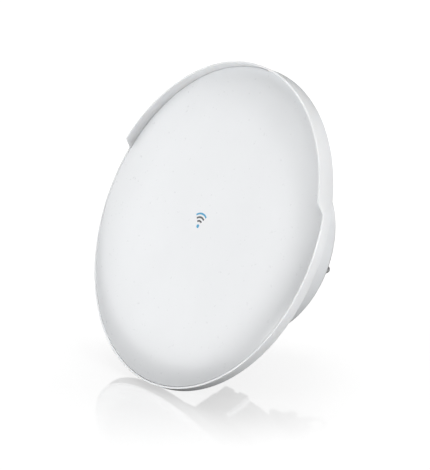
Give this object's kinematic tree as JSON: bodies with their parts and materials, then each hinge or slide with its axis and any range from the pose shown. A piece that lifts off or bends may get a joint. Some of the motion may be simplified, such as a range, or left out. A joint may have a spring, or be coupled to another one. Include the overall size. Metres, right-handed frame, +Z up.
{
  "type": "outdoor wireless bridge",
  "caption": "Round enclosed dish bridge with a domed radome, hooded rim, rear radio hub and a tilting pole bracket with U-bolts.",
  "frame": {"origin": "centre of the pole bracket web's flat rear face, the face that looks at the pole", "axes": "+Z up along the pole, +Y out of the rear face towards the pole, the dish looks towards -Y and, at rest, 25 degrees up"},
  "size_m": [0.46, 0.3111, 0.4278],
  "materials": {
    "white_plastic": "satin white UV-stable plastic",
    "grey_plastic": "grey moulded plastic",
    "dark_rubber": "black rubber",
    "aluminium": "spun sheet",
    "painted_aluminium": "white powder-coated sheet",
    "zinc_steel": "zinc plated",
    "white_paint": "powder coated",
    "circuit_board": "solder mask",
    "tinned_metal": "tinned",
    "clear_plastic": "clear moulded plastic",
    "dark_plastic": "dark moulded plastic"
  },
  "bodies": {
    "pole_bracket": {"pole_bracket": "white_paint", "u_bolt_nut_upper_left": "zinc_steel", "u_bolt_nut_upper_right": "zinc_steel", "u_bolt_nut_lower_left": "zinc_steel", "u_bolt_nut_lower_right": "zinc_steel"},
    "head": {"radome_cover": "white_plastic", "shroud": "white_plastic", "hub_housing": "white_plastic", "feed_tube": "white_plastic", "feed_nut": "grey_plastic", "vent_plug": "grey_plastic", "radome_gasket": "dark_rubber", "hub_gasket": "dark_rubber", "feed_o_ring": "dark_rubber", "sub_reflector": "aluminium", "heat_spreader": "aluminium", "reflector": "painted_aluminium", "rim_screw_1": "zinc_steel", "rim_screw_2": "zinc_steel", "rim_screw_3": "zinc_steel", "rim_screw_4": "zinc_steel", "rim_screw_5": "zinc_steel", "rim_screw_6": "zinc_steel", "hub_screw_1": "zinc_steel", "hub_screw_2": "zinc_steel", "hub_screw_3": "zinc_steel", "hub_screw_4": "zinc_steel", "bracket_screw_1": "zinc_steel", "bracket_screw_2": "zinc_steel", "bracket_screw_3": "zinc_steel", "bracket_screw_4": "zinc_steel", "ground_washer": "zinc_steel", "ground_screw": "zinc_steel", "door_pin": "zinc_steel", "pivot_bolt_left": "zinc_steel", "pivot_bolt_right": "zinc_steel", "pivot_nut_left": "zinc_steel", "pivot_nut_right": "zinc_steel", "lock_bolt_left": "zinc_steel", "lock_bolt_right": "zinc_steel", "lock_nut_left": "zinc_steel", "lock_nut_right": "zinc_steel", "tilt_bracket": "white_paint", "radio_board": "circuit_board", "feed_board": "circuit_board", "shield_can": "tinned_metal", "ethernet_jack": "tinned_metal", "light_pipe": "clear_plastic", "feed_cap": "clear_plastic", "reset_switch": "dark_plastic"},
    "u_bolt_upper": {"u_bolt_upper": "zinc_steel"},
    "u_bolt_lower": {"u_bolt_lower": "zinc_steel"},
    "port_door": {"port_door": "white_plastic", "cable_grommet": "dark_rubber", "door_seal": "dark_rubber"},
    "reset_button": {"reset_button": "dark_plastic"}
  },
  "joints": [
    {"name": "elevation_tilt", "type": "hinge", "parent": "pole_bracket", "child": "head", "pos_m": [0, -0.018, 0], "axis": [1, 0, 0], "range_deg": [0, 50]},
    {"name": "u_bolt_upper_slide", "type": "slide", "parent": "pole_bracket", "child": "u_bolt_upper", "axis": [0, 1, 0], "range_m": [-0.008, 0.008]},
    {"name": "u_bolt_lower_slide", "type": "slide", "parent": "pole_bracket", "child": "u_bolt_lower", "axis": [0, 1, 0], "range_m": [-0.008, 0.008]},
    {"name": "port_door_hinge", "type": "hinge", "parent": "head", "child": "port_door", "pos_m": [0, -0.13885, -0.09117], "axis": [-1, 0, 0], "range_deg": [0, 95]},
    {"name": "reset_press", "type": "slide", "parent": "head", "child": "reset_button", "axis": [0, 0.4226, 0.9063], "range_m": [0, 0.0012], "stiffness_N_per_m": 900}
  ]
}
